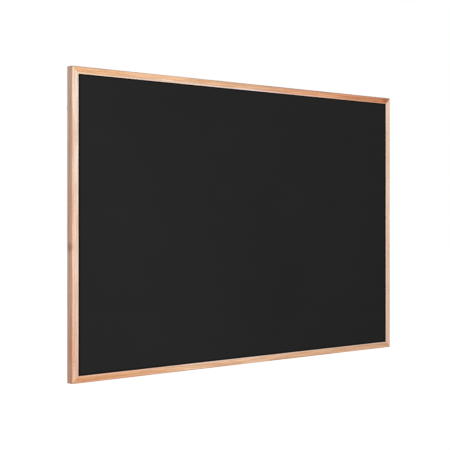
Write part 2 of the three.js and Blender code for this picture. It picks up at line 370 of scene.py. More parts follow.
def annual_rings(tree, here, wood, seed, knots):
    """Rings about a heart beside the member, which wander along it and bulge round its knots."""
    behind = HEART_BEHIND + HEART_BEHIND_SPREAD * math.sin(seed)
    beside = HEART_BESIDE + HEART_BESIDE_SPREAD * math.cos(2 * seed)
    flat_place = vector_of(tree, "MULTIPLY", here, (0, 1, 1))
    reach = length_of(tree, vector_of(tree, "ADD", flat_place, (0, behind, beside)))
    wander = compute(tree, "MULTIPLY", grain_of(tree, wood, RING_WAVES), RING_WANDER)
    reach = compute(tree, "ADD", reach, wander)
    in_knot = 0.0
    for centre, half_length, half_width in knots:
        distance = spindle_distance(tree, here, centre, half_length, half_width)
        bulge = step_between(tree, distance, KNOT_REACH, 0.6, 0.0, KNOT_BULGE * half_width)
        reach = compute(tree, "ADD", reach, bulge)
        in_knot = compute(tree, "MAXIMUM", step_between(tree, distance, 1.1, 0.2), in_knot)
    return compute(tree, "FRACT", compute(tree, "DIVIDE", reach, RING_SPACING)), in_knot


def tone_along(tree, along, length, tones):
    """The wood's ground colour: its tones follow each other from the member's start to its end."""
    tone_ramp = node_of(tree, "ShaderNodeValToRGB")
    feed(tree, tone_ramp.inputs[0], step_between(tree, along, -length / 2, length / 2))
    stops = tone_ramp.color_ramp.elements
    for number in range(1, len(tones) - 1):
        stops.new(number / (len(tones) - 1))
    for stop, tone in zip(stops, tones):
        stop.color = (*tone, 1)
    return tone_ramp.outputs["Color"]


def arris_shade_share(tree, wood, depth, on_side, across, front_share):
    """How far painted shade greys the outer arrises, in patches."""
    at_back = step_between(tree, depth, MEMBER_DEPTH - ARRIS_SHADE_WIDTH, MEMBER_DEPTH - ARRIS_SHADE_WIDTH / 2)
    at_back = compute(tree, "MULTIPLY", at_back, on_side, ARRIS_SHADE_SHARE)
    at_front = step_between(tree, across, -ARRIS_SHADE_WIDTH, -ARRIS_SHADE_WIDTH / 2, 0.0, front_share)
    in_front = step_between(tree, depth, ARRIS_SHADE_WIDTH, ARRIS_SHADE_WIDTH / 2)
    at_front = compute(tree, "MULTIPLY", at_front, in_front)
    patches = step_between(tree, grain_of(tree, wood, ARRIS_SHADE_PATCHES, 3.0), 0.38, 0.58, 0.45, 1.0)
    return compute(tree, "MULTIPLY", compute(tree, "MAXIMUM", at_back, at_front), patches)


def oak(
    name, length, place, turn, seed, tones, figure, bevel_paleness, arris_shade_strength, sight_line_dark=0.0, sapwood=(), knots=()
):
    """Oak for one member, in the moulding's own axes.

    Figure says how strongly its grain shows, and the three after it how pale its bevel is, how far
    painted shade greys its front outer arris, and how dark a thin line along its sight edge is.
    """
    material, tree, shader, world_place = new_finish(name, specular=0.3)
    local = node_of(tree, "ShaderNodeMapping", vector_type="TEXTURE")
    feed(tree, local.inputs["Vector"], world_place)
    feed(tree, local.inputs["Location"], place)
    feed(tree, local.inputs["Rotation"], (0, turn, 0))
    here = local.outputs["Vector"]
    along, depth, across = axes_of(tree, here)
    wood = vector_of(tree, "ADD", here, tuple(seed * step for step in BOARD_STEP))

    ring, in_knot = annual_rings(tree, here, wood, seed, knots)
    ring_end = step_between(tree, ring, 1.0, 0.93)
    late_wood = compute(tree, "MULTIPLY", step_between(tree, ring, 0.3, 0.88), ring_end)
    broad = grain_of(tree, wood, BROAD_STREAKS, 3.0, 0.55)
    streak = grain_of(tree, wood, FINE_STREAKS, 4.0, 0.6)
    fibre = grain_of(tree, wood, FIBRES, 3.0, 0.65)
    early_wood = step_between(tree, ring, 0.45, 0.05, 0.2, 1.0)
    dots = step_between(tree, grain_of(tree, wood, PORES, 1.0), 0.60, 0.68)
    pores = compute(tree, "MULTIPLY", dots, early_wood)

    colour = tone_along(tree, along, length, tones)
    on_side = step_between(tree, across, -OUTER_ARRIS, -0.3 * OUTER_ARRIS)
    # Painted shade: the outer sides are painted darker and redder than the front, as a face turned from
    # the light looks.
    colour = shade_of(tree, on_side, colour, SIDE_PAINTED_SHADE)
    for pale_streak in sapwood:
        distance = spindle_distance(tree, here, *pale_streak)
        colour = shade_of(tree, step_between(tree, distance, 1.1, 0.4), colour, SAPWOOD_LIFT)
    dark_share = compute(
        tree,
        "ADD",
        step_between(tree, broad, 0.36, 0.66, 0.0, BROAD_SHARE),
        step_between(tree, streak, 0.41, 0.60, 0.0, STREAK_SHARE),
        compute(tree, "MULTIPLY", late_wood, LATE_WOOD_SHARE),
    )
    # The bevel is paler and less saturated than the face.
    bevel_start = BEVEL_WIDTH - MEMBER_WIDTH
    on_bevel = step_between(tree, across, bevel_start, bevel_start - 0.6 * BEVEL_WIDTH, 0.0, bevel_paleness)
    in_front = step_between(tree, depth, GROOVE_FRONT, 0.8 * GROOVE_FRONT)
    paled = compute(tree, "MULTIPLY", on_bevel, in_front)
    shown = step_between(tree, paled, 0.0, 1.0, figure, BEVEL_FIGURE * figure)
    colour = shade_of(tree, compute(tree, "MULTIPLY", dark_share, shown), colour, DARK_STREAK)
    colour = shade_of(tree, paled, colour, BEVEL_LIFT)
    colour = blend_of(tree, step_between(tree, fibre, 0.35, 0.65, 0.0, FIBRE_SHARE), colour, (1, 1, 1))
    colour = shade_of(tree, compute(tree, "MULTIPLY", pores, PORE_SHARE), colour, PORE_SHADE)
    colour = shade_of(tree, compute(tree, "MULTIPLY", in_knot, KNOT_SHARE), colour, KNOT_SHADE)
    # Painted shade: the outer arrises are painted grey in patches, where they turn from the light.
    arris_shade = arris_shade_share(tree, wood, depth, on_side, across, arris_shade_strength)
    colour = blend_of(tree, arris_shade, colour, ARRIS_PAINTED_SHADE)
    # The sight edge gets a thin dark line, darkest on the bottom rail.
    sight_edge = -MEMBER_WIDTH
    sight_line = step_between(tree, across, sight_edge + SIGHT_LINE_WIDTH, sight_edge + SIGHT_LINE_WIDTH / 2, 0.0, sight_line_dark)
    colour = blend_of(tree, compute(tree, "MULTIPLY", sight_line, in_front), colour, SIGHT_LINE_TONE)
    feed(tree, shader.inputs["Base Color"], colour)

    satin = step_between(tree, streak, 0.3, 0.7, *SATIN_ROUGHNESS)
    roughness = compute(tree, "ADD", satin, compute(tree, "MULTIPLY", pores, PORE_ROUGHNESS))
    feed(tree, shader.inputs["Roughness"], roughness)
    raised = compute(
        tree,
        "ADD",
        compute(tree, "MULTIPLY", fibre, FIBRE_HEIGHT),
        compute(tree, "MULTIPLY", late_wood, LATE_WOOD_HEIGHT),
    )
    add_relief(tree, shader, compute(tree, "SUBTRACT", raised, pores), GRAIN_RELIEF)
    return material


CREAM = (0.97, 0.77, 0.62)
PALE = (0.98, 0.71, 0.55)
BLUSH = (0.95, 0.66, 0.50)
ROSE = (0.93, 0.61, 0.44)
FAWN = (0.85, 0.56, 0.405)
STRAW = (0.97, 0.64, 0.42)
HONEY = (0.97, 0.60, 0.34)
GOLD = (0.95, 0.57, 0.29)
WHEAT = (0.88, 0.54, 0.32)
TAN = (0.79, 0.465, 0.28)
COPPER = (0.94, 0.50, 0.265)
RUST = (0.86, 0.44, 0.21)
AMBER = (0.75, 0.29, 0.105)
# Each length came from another board, and its tones go from its start to its end. The stiles' tones
# are paler, partly from their own wood and partly as a painted sheen, as upright grain catches more of
# the light. Each pale streak or knot has its middle, in the moulding's own axes, then its half length
# and its half width.
member_wood = {
    "top_rail": {
        "tones": (GOLD, HONEY, STRAW, COPPER, AMBER),
        "figure": 1.45,
        "bevel_paleness": 0.92,
        "arris_shade_strength": 0.76,
        "sapwood": (((-0.235, 0.0, -0.0098), 185 * MM, 3.2 * MM),),
        "knots": (((0.433, 0.0, -0.006), 17 * MM, 9 * MM),),
    },
    "bottom_rail": {
        "tones": (TAN, WHEAT, STRAW, STRAW, RUST),
        "figure": 1.35,
        "bevel_paleness": 0.75,
        "arris_shade_strength": 0.20,
        "sight_line_dark": 0.9,
    },
    "left_stile": {
        "tones": (ROSE, PALE, PALE, CREAM, CREAM),
        "figure": 1.0,
        "bevel_paleness": 0.34,
        "arris_shade_strength": 0.0,
        "knots": (
            ((-0.0425, 0.0086, 0.0), 13 * MM, 11.5 * MM),
            ((-0.258, 0.0, -0.0052), 2.0 * MM, 1.2 * MM),
            ((-0.266, 0.0, -0.0036), 1.8 * MM, 1.1 * MM),
        ),
    },
    "right_stile": {
        "tones": (PALE, BLUSH, FAWN),
        "figure": 0.65,
        "bevel_paleness": 0.22,
        "arris_shade_strength": 0.35,
    },
}
for seed, (name, layout) in enumerate(member_places.items(), start=1):
    coat(members[name], oak(f"oak_{name}", *layout, seed, **member_wood[name]))

# Writing panel
# A sheet of 3 mm hardboard, coated on its face with black chalk lacquer and slid into the groove. The
# lacquer is dead matt, with a fine tooth for the chalk. Wiping has left a faint grey on it in clouds and
# marks. Low on the left it is painted lighter, a painted pool of light, and along the frame it is
# painted darker, a painted shade where the frame's lip shades it.
SHEET_ARRIS = 0.3 * MM
LIP_SHADE_AT_RAILS = 4 * MM
LIP_SHADE_AT_STILES = 7 * MM
# The share of these widths, next to the frame, that gets the painted shade at full strength
LIP_SHADE_CORE = 0.2
LACQUER_BLACK = (0.0152, 0.0152, 0.0150)
WIPED_AND_LIT_BLACK = (0.0186, 0.0186, 0.0184)
LIP_SHADE_BLACK = (0.0046, 0.0038, 0.0028)
CLOUDS_PER_METRE = (3, 3, 3)
WIPE_MARKS_PER_METRE = (5, 1, 26)
TOOTH_PER_METRE = (2600, 2600, 2600)
CLOUD_SHARE = 0.3
WIPE_SHARE = 0.2
LOW_LEFT_LIGHT_SHARE = 0.5
LACQUER_ROUGHNESS = 0.88
TOOTH_RELIEF = 0.01 * MM


def apply_modifier(piece, kind, **settings):
    bpy.context.view_layer.objects.active = piece
    step = piece.modifiers.new(kind.lower(), kind)
    for name, value in settings.items():
        setattr(step, name, value)
    bpy.ops.object.modifier_apply(modifier=step.name)


def finish_shape(piece, smooth_below=35):
    """Points the faces outwards and shades soft edges smooth, with the flat faces kept flat."""
    take(piece)
    bpy.ops.object.mode_set(mode="EDIT")
    bpy.ops.mesh.select_mode(type="VERT")
    bpy.ops.mesh.select_all(action="SELECT")
    bpy.ops.mesh.remove_doubles(threshold=FINE)
    bpy.ops.mesh.dissolve_degenerate(threshold=FINE)
    bpy.ops.mesh.normals_make_consistent(inside=False)
    bpy.ops.object.mode_set(mode="OBJECT")
    bpy.ops.object.shade_smooth_by_angle(angle=math.radians(smooth_below))
    apply_modifier(piece, "WEIGHTED_NORMAL", keep_sharp=True)


def sheet_of_board(name, node):
    """A sawn sheet of board with its edges just broken, as large as its node."""
    low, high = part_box(node)
    sheet = begin(
        name, bpy.ops.mesh.primitive_cube_add, size=1, location=(low + high) / 2, scale=high - low
    )
    pick("EDGE", lambda point: True)
    ease(SHEET_ARRIS, 2)
    bpy.ops.object.mode_set(mode="OBJECT")
    finish_shape(sheet)
    return sheet


def chalk_lacquer():
    material, tree, shader, place = new_finish("chalk_lacquer", specular=0.06)
    feed(tree, shader.inputs["Roughness"], LACQUER_ROUGHNESS)
    across, _, up = axes_of(tree, vector_of(tree, "SUBTRACT", place, tuple(board_middle)))
    half_width = board_width / 2 - MEMBER_WIDTH
    half_height = board_height / 2 - MEMBER_WIDTH
    to_stile = compute(tree, "SUBTRACT", half_width, compute(tree, "ABSOLUTE", across))
    to_rail = compute(tree, "SUBTRACT", half_height, compute(tree, "ABSOLUTE", up))
    cloud = grain_of(tree, place, CLOUDS_PER_METRE, 3.0, 0.55)
    wipe_mark = grain_of(tree, place, WIPE_MARKS_PER_METRE, 4.0, 0.6)
    from_low_left = compute(tree, "ADD", across, compute(tree, "MULTIPLY", up, 0.5))
    # The clouds and wipe marks are the lacquer's own grey; the lift low on the left is painted light.
    haze_and_light = compute(
        tree,
        "ADD",
        step_between(tree, cloud, 0.3, 0.7, 0.0, CLOUD_SHARE),
        step_between(tree, wipe_mark, 0.35, 0.7, 0.0, WIPE_SHARE),
        step_between(tree, from_low_left, 0.05, -0.50, 0.0, LOW_LEFT_LIGHT_SHARE),
    )
    colour = blend_of(tree, haze_and_light, LACQUER_BLACK, WIPED_AND_LIT_BLACK)
    # Painted shade along the frame, where its lip shades the panel.
    lip_shade = compute(
        tree,
        "MAXIMUM",
        step_between(tree, to_rail, LIP_SHADE_AT_RAILS, LIP_SHADE_CORE * LIP_SHADE_AT_RAILS),
        step_between(tree, to_stile, LIP_SHADE_AT_STILES, LIP_SHADE_CORE * LIP_SHADE_AT_STILES),
    )
    colour = blend_of(tree, lip_shade, colour, LIP_SHADE_BLACK)
    feed(tree, shader.inputs["Base Color"], colour)
    tooth = grain_of(tree, place, TOOTH_PER_METRE, 2.0, 0.6)
    add_relief(tree, shader, tooth, TOOTH_RELIEF)
    return material


panel = sheet_of_board("chalk_panel", "writing_panel")
coat(panel, chalk_lacquer())
hand_over(panel, "writing_panel")

# Core board
# Soft fibre board that fills the groove behind the writing panel and keeps it flat. It is pressed
# from pale wood fibre and glued to both sheets, and nothing of it shows.
CORE_BROWN = (0.38, 0.25, 0.12)
CORE_STRAW = (0.52, 0.37, 0.20)
CORE_STRAND = (0.28, 0.17, 0.08)
FLOCK_PER_METRE = (900, 900, 900)
STRANDS_PER_METRE = (90, 2500, 700)
CORE_ROUGHNESS = 0.95
CORE_RELIEF = 0.15 * MM


def fibre_board():
    material, tree, shader, place = new_finish("core_fibre", specular=0.2)
    feed(tree, shader.inputs["Roughness"], CORE_ROUGHNESS)
    flock = grain_of(tree, place, FLOCK_PER_METRE, 4.0, 0.7)
    strands = grain_of(tree, place, STRANDS_PER_METRE, 3.0, 0.6)
    colour = blend_of(tree, step_between(tree, flock, 0.3, 0.7), CORE_BROWN, CORE_STRAW)
    colour = blend_of(tree, step_between(tree, strands, 0.6, 0.75, 0.0, 0.5), colour, CORE_STRAND)
    feed(tree, shader.inputs["Base Color"], colour)
    add_relief(tree, shader, flock, CORE_RELIEF)
    return material


core = sheet_of_board("fibre_core", "core_board")
coat(core, fibre_board())
hand_over(core, "core_board")

# Backing board
# Thin brown hardboard that closes the back, rough side out. Its face carries the print of the wire
# screen that it was pressed on.
SCREEN_PITCH = 1.3 * MM
HARDBOARD_BROWN = (0.165, 0.080, 0.036)
HARDBOARD_TAN = (0.255, 0.135, 0.066)
HARDBOARD_PATCH = (0.30, 0.17, 0.088)
HARDBOARD_CHIP = (0.075, 0.036, 0.018)
SCREEN_SHADE = (0.78, 0.76, 0.74)
WOBBLES_PER_METRE = (60, 60, 60)
PULP_PER_METRE = (240, 240, 240)
PATCHES_PER_METRE = (6, 6, 6)
CHIPS_PER_METRE = (500, 500, 900)
HARDBOARD_ROUGHNESS = 0.85
SCREEN_RELIEF = 0.12 * MM


def hardboard():
    material, tree, shader, place = new_finish("hardboard", specular=0.25)
    feed(tree, shader.inputs["Roughness"], HARDBOARD_ROUGHNESS)
    per_pitch = 2 * math.pi / SCREEN_PITCH
    across, _, up = axes_of(tree, vector_of(tree, "MULTIPLY", place, (per_pitch, 0, per_pitch)))
    wobble = compute(tree, "MULTIPLY", grain_of(tree, place, WOBBLES_PER_METRE), 3.0)
    wires = compute(
        tree,
        "MULTIPLY",
        compute(tree, "SINE", compute(tree, "ADD", across, wobble)),
        compute(tree, "SINE", compute(tree, "ADD", up, wobble)),
    )
    pulp = grain_of(tree, place, PULP_PER_METRE, 4.0, 0.65)
    patches = grain_of(tree, place, PATCHES_PER_METRE, 3.0, 0.6)
    chips = grain_of(tree, place, CHIPS_PER_METRE, 2.0, 0.5)
    colour = blend_of(tree, step_between(tree, pulp, 0.3, 0.7), HARDBOARD_BROWN, HARDBOARD_TAN)
    colour = blend_of(tree, step_between(tree, patches, 0.35, 0.7, 0.0, 0.4), colour, HARDBOARD_PATCH)
    colour = blend_of(tree, step_between(tree, chips, 0.64, 0.72, 0.0, 0.6), colour, HARDBOARD_CHIP)
    colour = shade_of(tree, step_between(tree, wires, 0.1, -0.8), colour, SCREEN_SHADE)
    feed(tree, shader.inputs["Base Color"], colour)
    height = compute(tree, "ADD", compute(tree, "MULTIPLY", wires, 0.5), pulp)
    add_relief(tree, shader, height, SCREEN_RELIEF)
    return material


backing = sheet_of_board("hardboard_back", "backing_board")
coat(backing, hardboard())
hand_over(backing, "backing_board")

# Corner nails
# V-shaped nails, folded from hardened steel strip with one sharpened edge. Two are pressed in from
# behind across each mitre, until they sit just below the back of the frame.
NAIL_LEG = 4.5 * MM
NAIL_STEEL = 0.5 * MM
NAIL_SINK = 0.3 * MM
NAIL_HEIGHT = 5.7 * MM
NAIL_BEND = 0.15 * MM
NAIL_CUTTING_EDGE = 0.12 * MM
NAIL_TOP_EDGE = 0.045 * MM
NAIL_SLOT_PLAY = 0.05 * MM
NAIL_GREY = (0.30, 0.31, 0.32)
NAIL_BRIGHT = (0.47, 0.48, 0.49)
TARNISH_PER_METRE = (700, 700, 700)
DRAW_MARKS_PER_METRE = (9000, 400, 9000)
NAIL_ROUGHNESS = (0.38, 0.55)
NAIL_RELIEF = 0.01 * MM
OUTER_NAIL_FROM_EDGES = 6.2 * MM
INNER_NAIL_FROM_EDGES = 12 * MM
OVERSHOOT = 1 * MM


def swing(steps, angle, centre, axis):
    """Extrudes the selected faces round an axis, by the right-hand rule."""
    bpy.ops.mesh.spin(steps=steps, angle=-angle, center=centre, axis=axis)


def carve(piece, cutter):
    """Cuts the cutter's shape out of the piece."""
    apply_modifier(piece, "BOOLEAN", operation="DIFFERENCE", solver="EXACT", object=cutter)


def copy_of(piece, name):
    """A copy with its own mesh."""
    take(piece)
    bpy.ops.object.duplicate()
    twin = bpy.context.object
    twin.name = name
    twin.data.name = name
    return twin


def folded_strip(name, play, top, bottom):
    """Strip folded square. Its outer faces are x = 0 and z = 0, and play is added all round."""
    bend = NAIL_STEEL + NAIL_BEND
    strip = begin(
        name,
        bpy.ops.mesh.primitive_cube_add,
        size=1,
        location=((bend + NAIL_LEG + play) / 2, (top + bottom) / 2, NAIL_STEEL / 2),
        scale=(NAIL_LEG + play - bend, top - bottom, NAIL_STEEL + 2 * play),
    )
    pick("FACE", lambda point: near(point.x, bend))
    swing(6, math.pi / 2, (bend, 0, bend), (0, 1, 0))
    pull(0, 0, NAIL_LEG + play - bend)
    bpy.ops.object.mode_set(mode="OBJECT")
    return strip


def corner_nail():
    bottom = -NAIL_SINK - NAIL_HEIGHT
    nail = folded_strip("corner_nail", 0, -NAIL_SINK, bottom)
    pick("EDGE", lambda point: near(point.y, bottom))
    ease(NAIL_CUTTING_EDGE, 1)
    pick("EDGE", lambda point: near(point.y, -NAIL_SINK))
    ease(NAIL_TOP_EDGE, 2)
    bpy.ops.object.mode_set(mode="OBJECT")
    finish_shape(nail)
    return nail


def nail_steel():
    material, tree, shader, place = new_finish("nail_steel", specular=0.5, metallic=1.0)
    tarnish = grain_of(tree, place, TARNISH_PER_METRE, 3.0, 0.6)
    draw_marks = grain_of(tree, place, DRAW_MARKS_PER_METRE, 2.0, 0.6)
    colour = blend_of(tree, step_between(tree, tarnish, 0.35, 0.7), NAIL_GREY, NAIL_BRIGHT)
    feed(tree, shader.inputs["Base Color"], colour)
    feed(tree, shader.inputs["Roughness"], step_between(tree, tarnish, 0.3, 0.7, *NAIL_ROUGHNESS))
    add_relief(tree, shader, draw_marks, NAIL_RELIEF)
    return material


corners = (
    ("top_right", 1, 1, 0.0, ("top_rail", "right_stile")),
    ("top_left", -1, 1, -math.pi / 2, ("top_rail", "left_stile")),
    ("bottom_left", -1, -1, math.pi, ("bottom_rail", "left_stile")),
    ("bottom_right", 1, -1, math.pi / 2, ("bottom_rail", "right_stile")),
)
nail_rows = {"outer": OUTER_NAIL_FROM_EDGES, "inner": INNER_NAIL_FROM_EDGES}
nail_pattern = corner_nail()
coat(nail_pattern, nail_steel())
slot_bottom = -NAIL_SINK - NAIL_HEIGHT - NAIL_SLOT_PLAY
slot_pattern = folded_strip("nail_slot", NAIL_SLOT_PLAY, OVERSHOOT, slot_bottom)
for corner, side, end, turn, joined in corners:
    for row, from_edges in nail_rows.items():
        x = side * (board_width / 2 - from_edges)
        z = board_middle.z + end * (board_height / 2 - from_edges)
        nail = copy_of(nail_pattern, f"v_nail_{corner}_{row}")
        place_at(nail, (x, back_y, z), turn)
        hand_over(nail, f"corner_nail_{corner}_{row}")
        nail_slot = copy_of(slot_pattern, "pressed_slot")
        place_at(nail_slot, (x, back_y, z), turn)
        for member in joined:
            carve(members[member], nail_slot)
        bpy.data.objects.remove(nail_slot)
bpy.data.objects.remove(nail_pattern)
bpy.data.objects.remove(slot_pattern)

# Hanger straps
# One on the back of each stile: a strip of 0.8 mm steel with a round lower end, rolled to a loop at
# the top round the ring's hinge bar. It is punched for two screws, deburred and zinc plated.
STRAP_STEEL = 0.8 * MM
STRAP_WIDTH = 7 * MM
# Just under half the width, so that the two arcs of the round end don't run into each other
STRAP_END_RADIUS = 0.499 * STRAP_WIDTH
LOOP_BORE = 1.05 * MM
LOOP_RADIUS = LOOP_BORE + STRAP_STEEL
LOOP_TURN = math.radians(290)
STRAP_LENGTH = 25.7 * MM
UPPER_SCREW_DROP = 14.2 * MM
LOWER_SCREW_DROP = 22.2 * MM
SCREW_HOLE_RADIUS = 1.5 * MM
DEBURRED = 0.12 * MM
ZINC_GREY = (0.60, 0.62, 0.65)
ZINC_BRIGHT = (0.74, 0.75, 0.77)
BLOOM_PER_METRE = (420, 420, 420)
RUB_MARKS_PER_METRE = (2500, 2500, 300)
ZINC_ROUGHNESS = (0.26, 0.44)
ZINC_RELIEF = 0.008 * MM


def drill(name, low_y, high_y, drop):
    """A round cutter along Y, at a screw's place below the hinge line."""
    return begin(
        name,
        bpy.ops.mesh.primitive_cylinder_add,
        vertices=32,
        radius=SCREW_HOLE_RADIUS,
        depth=high_y - low_y,
        location=(0, (low_y + high_y) / 2, -drop),
        rotation=(math.pi / 2, 0, 0),
    )


def deburr(piece, turn):
    """Takes the burr off every edge that turns by more than so many degrees."""
    sharp = math.radians(turn)
    apply_modifier(piece, "BEVEL", width=DEBURRED, segments=2, limit_method="ANGLE", angle_limit=sharp)


def hanger_strap():
    """The strap, with its hinge line over the origin and the wood's face at y = 0."""
    strap = begin(
        "hanger_strap",
        bpy.ops.mesh.primitive_cube_add,
        size=1,
        location=(0, STRAP_STEEL / 2, -STRAP_LENGTH / 2),
        scale=(STRAP_WIDTH, STRAP_STEEL, STRAP_LENGTH),
    )
    for edge_x in (-STRAP_WIDTH / 2, STRAP_WIDTH / 2):
        pick("EDGE", lambda point: near(point.z, -STRAP_LENGTH) and near(point.x, edge_x))
        ease(STRAP_END_RADIUS, 12)
    pick("FACE", lambda point: near(point.z, 0))
    swing(28, LOOP_TURN, (0, LOOP_RADIUS, 0), (-1, 0, 0))
    bpy.ops.object.mode_set(mode="OBJECT")
    for drop in (UPPER_SCREW_DROP, LOWER_SCREW_DROP):
        hole = drill("screw_hole", -OVERSHOOT, STRAP_STEEL + OVERSHOOT, drop)
        carve(strap, hole)
        bpy.data.objects.remove(hole)
    deburr(strap, 50)
    finish_shape(strap)
    return strap


def zinc_plate():
    material, tree, shader, place = new_finish("zinc_plate", specular=0.5, metallic=1.0)
    bloom = grain_of(tree, place, BLOOM_PER_METRE, 3.0, 0.6)
    rub = grain_of(tree, place, RUB_MARKS_PER_METRE, 3.0, 0.6)
    colour = blend_of(tree, step_between(tree, bloom, 0.35, 0.68), ZINC_GREY, ZINC_BRIGHT)
    feed(tree, shader.inputs["Base Color"], colour)
    feed(tree, shader.inputs["Roughness"], step_between(tree, rub, 0.3, 0.7, *ZINC_ROUGHNESS))
    add_relief(tree, shader, rub, ZINC_RELIEF)
    return material


zinc = zinc_plate()
strap_pattern = hanger_strap()
coat(strap_pattern, zinc)
hinge_places = {}
for side in ("left", "right"):
    strap_low, strap_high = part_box(f"hanger_strap_{side}")
    middle_x = (strap_low.x + strap_high.x) / 2
    hinge_places[side] = Vector((middle_x, back_y, strap_high.z - LOOP_RADIUS))
    strap = copy_of(strap_pattern, f"strap_{side}")
    place_at(strap, hinge_places[side])
    hand_over(strap, f"hanger_strap_{side}")
bpy.data.objects.remove(strap_pattern)

# Strap screws
# Short pan-head wood screws with a cross recess, two through each strap into the stile. They are
# zinc plated like the strap, and driven home against it.
SCREW_SHANK = 1.3 * MM
SCREW_HEAD = 2.5 * MM
SCREW_HEAD_HEIGHT = 1.5 * MM
SCREW_RIM = 0.5 * MM
SCREW_POINT = 2 * MM
SCREW_LENGTH = 7.8 * MM
PILOT_DEPTH = 7.2 * MM
RECESS_HALF_LENGTH = 1.4 * MM
RECESS_HALF_WIDTH = 0.35 * MM
RECESS_DEPTH = 0.8 * MM
# The recess's floor and the screw's tip, as shares of what they taper from
RECESS_FLOOR = 0.6
SCREW_TIP = 0.08


def recess_wing(half_across, half_down):
    """One bar of the cross that the driver fits, narrower at its floor."""
    wing = begin(
        "recess_wing",
        bpy.ops.mesh.primitive_cube_add,
        size=2,
        location=(0, SCREW_HEAD_HEIGHT, 0),
        scale=(half_across, RECESS_DEPTH, half_down),
    )
    pick("FACE", lambda point: near(point.y, SCREW_HEAD_HEIGHT - RECESS_DEPTH))
    bpy.ops.transform.resize(value=(RECESS_FLOOR, 1, RECESS_FLOOR))
    bpy.ops.object.mode_set(mode="OBJECT")
    return wing


def strap_screw():
    """A screw along Y: its head rests on y = 0, with the shank on the far side."""
    screw = begin(
        "strap_screw",
        bpy.ops.mesh.primitive_cylinder_add,
        vertices=40,
        radius=SCREW_HEAD,
        depth=SCREW_HEAD_HEIGHT,
        location=(0, SCREW_HEAD_HEIGHT / 2, 0),
        rotation=(math.pi / 2, 0, 0),
    )
    pick("EDGE", lambda point: near(point.y, SCREW_HEAD_HEIGHT))
    ease(SCREW_HEAD_HEIGHT - SCREW_RIM, 8)
    pick("FACE", lambda point: near(point.y, 0))
    bpy.ops.mesh.inset(thickness=SCREW_HEAD - SCREW_SHANK)
    pull(0, SCREW_POINT - SCREW_LENGTH, 0)
    pull(0, -SCREW_POINT, 0)
    bpy.ops.transform.resize(value=(SCREW_TIP, 1, SCREW_TIP))
    bpy.ops.object.mode_set(mode="OBJECT")
    for wing in (
        recess_wing(RECESS_HALF_LENGTH, RECESS_HALF_WIDTH),
        recess_wing(RECESS_HALF_WIDTH, RECESS_HALF_LENGTH),
    ):
        carve(screw, wing)
        bpy.data.objects.remove(wing)
    finish_shape(screw)
    return screw


screw_pattern = strap_screw()
coat(screw_pattern, zinc)
screw_rows = {"upper": UPPER_SCREW_DROP, "lower": LOWER_SCREW_DROP}
for side, hinge_place in hinge_places.items():
    for row, drop in screw_rows.items():
        screw = copy_of(screw_pattern, f"screw_{side}_{row}")
        place_at(screw, hinge_place + Vector((0, STRAP_STEEL, -drop)))
        hand_over(screw, f"strap_screw_{side}_{row}")
        pilot = drill("pilot_hole", -PILOT_DEPTH, OVERSHOOT, drop)
        place_at(pilot, hinge_place)
        carve(members[f"{side}_stile"], pilot)
        bpy.data.objects.remove(pilot)
bpy.data.objects.remove(screw_pattern)
# The frame has its last slot and hole now
for member in members.values():
    finish_shape(member)

# Hanging rings
# D-shaped rings bent from 1.8 mm zinc-plated wire. The two cut ends meet inside the strap's loop, and
# the ring folds there from lying over the strap to standing up behind the top of the board.
WIRE_RADIUS = 0.9 * MM
RING_HALF_WIDTH = 5.3 * MM
RING_CORNER = 1.6 * MM
RING_SIDE = 5 * MM
RING_SPLIT = 0.4 * MM


def hanging_ring():
    """The ring, hanging down from its hinge bar, which lies on the X axis and is split in the middle."""
    bar_end = RING_HALF_WIDTH - RING_CORNER
    quarter = math.pi / 2
    ring = begin(
        "hanging_ring",
        bpy.ops.mesh.primitive_circle_add,
        vertices=20,
        radius=WIRE_RADIUS,
        fill_type="NGON",
        location=(RING_SPLIT / 2, 0, 0),
        rotation=(0, quarter, 0),
    )
    pick("FACE", lambda point: True)
    pull(bar_end - RING_SPLIT / 2, 0, 0)
    swing(8, quarter, (bar_end, 0, -RING_CORNER), (0, 1, 0))
    pull(0, 0, RING_CORNER - RING_SIDE)
    swing(40, 2 * quarter, (0, 0, -RING_SIDE), (0, 1, 0))
    pull(0, 0, RING_SIDE - RING_CORNER)
    swing(8, quarter, (-bar_end, 0, -RING_CORNER), (0, 1, 0))
    pull(bar_end - RING_SPLIT / 2, 0, 0)
    bpy.ops.object.mode_set(mode="OBJECT")
    deburr(ring, 60)
    finish_shape(ring)
    return ring


ring_pattern = hanging_ring()
coat(ring_pattern, zinc)
for side, hinge_place in hinge_places.items():
    ring = copy_of(ring_pattern, f"d_ring_{side}")
    place_at(ring, hinge_place + Vector((0, LOOP_RADIUS, 0)))
    hand_over(ring, f"hanger_ring_{side}", f"{side}_ring")
bpy.data.objects.remove(ring_pattern)

# Wall bumpers
# Moulded rubber buttons with a self-adhesive foot, one near each end of both stiles. They hold the
# frame off the wall and keep it from sliding.
BUMPER_ARRIS = 0.8 * MM
BUMPER_RIM = 1.3 * MM
BUMPER_DISH = 0.25 * MM
RUBBER_BLACK = (0.026, 0.024, 0.022)
RUBBER_GREY = (0.048, 0.045, 0.042)
SPECKLES_PER_METRE = (1500, 1500, 1500)
RUBBER_ROUGHNESS = (0.6, 0.8)
RUBBER_RELIEF = 0.03 * MM


